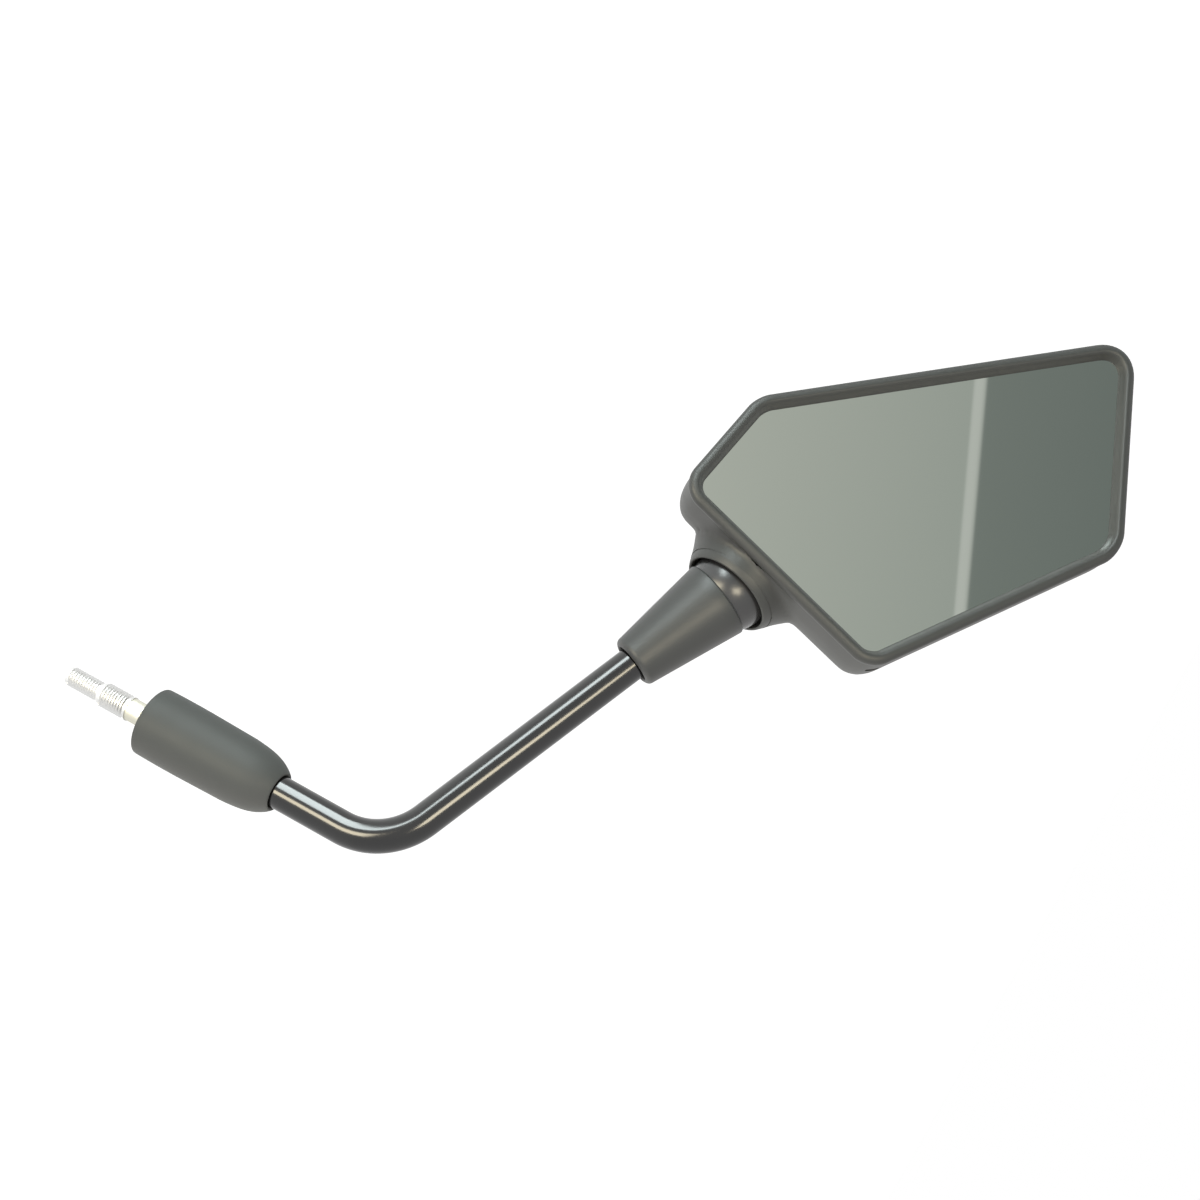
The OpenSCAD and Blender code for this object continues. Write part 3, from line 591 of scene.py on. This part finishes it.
bpy.ops.mesh.remove_doubles(threshold=2e-5)
bpy.ops.mesh.normals_make_consistent(inside=False)
bpy.ops.object.mode_set(mode="OBJECT")
rim.name = "rim"
settle(rim, glass_frame)
finish_piece(rim, shell_black, "head", angle=50)


# Mirror glass: flat silvered glass with a slight grey green tint, bonded to a moulded plate by a
# foam pad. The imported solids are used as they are.
silvered, shader = new_material("silvered glass", (0.80, 0.84, 0.80), 0.015)
shader.inputs["Metallic"].default_value = 1
dress("mirror_glass", silvered)
dress("glass_pad", plastic("black foam", (0.03, 0.03, 0.03), 0.9, 0.3, 0.5, 2000))
dress("carrier_plate", plastic("plain black plastic", (0.05, 0.05, 0.05), 0.5, 0.5, 0.2, 900))


# Floor and world: plain white, the floor far enough below the mirror for its shadow to be soft and
# to fall out of the picture. Rays that see a background find it brighter than the light it gives.
def seen_only(tree, hidden, shown):
    """One value for camera, glossy and transmission rays, and another for the rest."""
    rays = tree.nodes.new("ShaderNodeLightPath")
    seen = rays.outputs["Is Camera Ray"]
    for kind in ("Is Glossy Ray", "Is Transmission Ray"):
        either = tree.nodes.new("ShaderNodeMath")
        either.operation = "MAXIMUM"
        tree.links.new(seen, either.inputs[0])
        tree.links.new(rays.outputs[kind], either.inputs[1])
        seen = either.outputs["Value"]
    level = tree.nodes.new("ShaderNodeMapRange")
    level.inputs["To Min"].default_value = hidden
    level.inputs["To Max"].default_value = shown
    tree.links.new(seen, level.inputs["Value"])
    return level.outputs["Result"]


floor_height, floor_size = -1.5, 30
bpy.ops.object.select_all(action="DESELECT")
bpy.ops.mesh.primitive_plane_add(size=floor_size, location=(0, 0, floor_height))
floor = bpy.context.object
floor.name = "floor"
white, shader = new_material("white floor", (0.9, 0.9, 0.9), 0.9)
shader.inputs["Emission Color"].default_value = (1, 1, 1, 1)
white.node_tree.links.new(
    seen_only(white.node_tree, 0.0, 0.62), shader.inputs["Emission Strength"])
floor.data.materials.append(white)

world = bpy.data.worlds.new("studio")
bpy.context.scene.world = world
world.use_nodes = True
sky = world.node_tree
sky.links.new(seen_only(sky, 0.5, 1.0), sky.nodes["Background"].inputs["Strength"])
sky.nodes["Background"].inputs["Color"].default_value = (1, 1, 1, 1)


# Camera: it stands and looks as the photograph's did, in place, direction and roll, and its lens
# gives the photograph's perspective.
def stand(thing, place, x_axis, y_axis, z_axis):
    """Puts a thing at its place, with its axes in the given directions."""
    axes = Matrix((x_axis, y_axis, z_axis)).transposed().to_4x4()
    thing.matrix_world = Matrix.Translation(place) @ axes


camera_data = bpy.data.cameras.new("camera")
camera = bpy.data.objects.new("camera", camera_data)
bpy.context.collection.objects.link(camera)
bpy.context.scene.camera = camera
camera_data.lens = 81.08
camera_data.sensor_width = 36
look = Vector((-0.3043, 0.9011, -0.3090)).normalized()
across = look.cross(Vector((-0.7988, -0.4181, -0.4326))).normalized()
stand(camera, (0.1886, -0.9307, 0.4544), across, across.cross(look), -look)


# Lamps: a cool and a warmer soft light in front, a wide fill from the picture's lower left, and
# strips that only reflections see, for the cool and the warm streak along the stay. A plain card
# in a lighter and a darker tone stands where the glass looks.
def strip(name, one_end, other_end, width, colour, watts):
    """An area light that reaches from one point to another and faces the mirror."""
    one_end, other_end = Vector(one_end), Vector(other_end)
    lamp_data = bpy.data.lights.new(name, "AREA")
    lamp_data.shape = "RECTANGLE"
    lamp_data.size, lamp_data.size_y = (other_end - one_end).length, width
    lamp_data.color = colour
    lamp_data.energy = watts
    lamp = bpy.data.objects.new(name, lamp_data)
    bpy.context.collection.objects.link(lamp)
    centre = (one_end + other_end) / 2
    wide = (other_end - one_end).normalized()
    away = centre - mirror_middle
    away = (away - away.dot(wide) * wide).normalized()
    stand(lamp, centre, wide, away.cross(wide), away)
    lamp.visible_camera = False
    return lamp


mirror_middle = Vector((-0.15, 0, 0.13))
cool, warm, cool_gloss, warm_gloss = (
    (0.86, 1.0, 1.0), (1.0, 0.84, 0.72), (0.90, 1.0, 1.0), (1.0, 0.89, 0.66))
for soft in (
        strip("cool_key", (-1.16, -1.49, 0.60), (-0.38, -1.66, -0.67), 0.35, cool, 32),
        strip("warm_key", (0.38, -1.18, 1.44), (1.10, -1.34, 0.25), 0.45, warm, 10),
        strip("low_fill", (0.56, 0.45, 0.74), (1.39, 0.27, -0.61), 1.6, (1.0, 0.99, 0.96), 26)):
    soft.visible_glossy = False
for streak in (
        strip("cool_streak", (-0.36, -1.62, -0.42), (-1.40, -0.97, -0.60), 0.42, cool_gloss, 23),
        strip("warm_streak_1", (0.04, -1.40, 1.52), (0.32, -1.34, 0.86), 0.44, warm_gloss, 14),
        strip("warm_streak_2", (0.52, -1.42, 0.00), (0.64, -1.42, -1.05), 0.55, warm_gloss, 24)):
    streak.visible_diffuse = False

card_size, card_reach = 2.6, 0.6
bpy.ops.object.select_all(action="DESELECT")
bpy.ops.mesh.primitive_plane_add(size=card_size)
card = bpy.context.object
card.name = "reflection_card"
card_away = Vector((0.4516, 0.7991, -0.3968)).normalized()
card_wide = Vector((0, 0, 1)).cross(card_away).normalized()
stand(card, (-1.5702, -2.4029, 1.4129), card_wide, card_away.cross(card_wide), card_away)

two_tone = bpy.data.materials.new("two tone card")
two_tone.use_nodes = True
tree = two_tone.node_tree
tree.nodes.clear()
place = tree.nodes.new("ShaderNodeTexCoord")
slant = tree.nodes.new("ShaderNodeVectorMath")
slant.operation = "DOT_PRODUCT"
slant.inputs[1].default_value = (0.80, 1, 0)
shift = tree.nodes.new("ShaderNodeMapRange")
shift.inputs["From Min"].default_value = -card_reach
shift.inputs["From Max"].default_value = card_reach
tones = tree.nodes.new("ShaderNodeValToRGB")
stops = tones.color_ramp.elements
stops[0].position, stops[0].color = 0.15, (0.46, 0.47, 0.43, 1)
stops[1].position, stops[1].color = 0.559, (0.36, 0.38, 0.35, 1)
for position, colour in ((0.563, (0.52, 0.53, 0.50, 1)), (0.577, (0.50, 0.51, 0.48, 1)),
                         (0.582, (0.19, 0.21, 0.195, 1)), (0.9, (0.15, 0.17, 0.16, 1))):
    stops.new(position).color = colour
glow = tree.nodes.new("ShaderNodeEmission")
clear = tree.nodes.new("ShaderNodeBsdfTransparent")
only = tree.nodes.new("ShaderNodeMixShader")
rays = tree.nodes.new("ShaderNodeLightPath")
out = tree.nodes.new("ShaderNodeOutputMaterial")
tree.links.new(place.outputs["Object"], slant.inputs[0])
tree.links.new(slant.outputs["Value"], shift.inputs["Value"])
tree.links.new(shift.outputs["Result"], tones.inputs["Fac"])
tree.links.new(tones.outputs["Color"], glow.inputs["Color"])
tree.links.new(rays.outputs["Is Glossy Ray"], only.inputs["Fac"])
tree.links.new(clear.outputs["BSDF"], only.inputs[1])
tree.links.new(glow.outputs["Emission"], only.inputs[2])
tree.links.new(only.outputs["Shader"], out.inputs["Surface"])
card.data.materials.append(two_tone)

bpy.context.scene.view_settings.view_transform = "Standard"
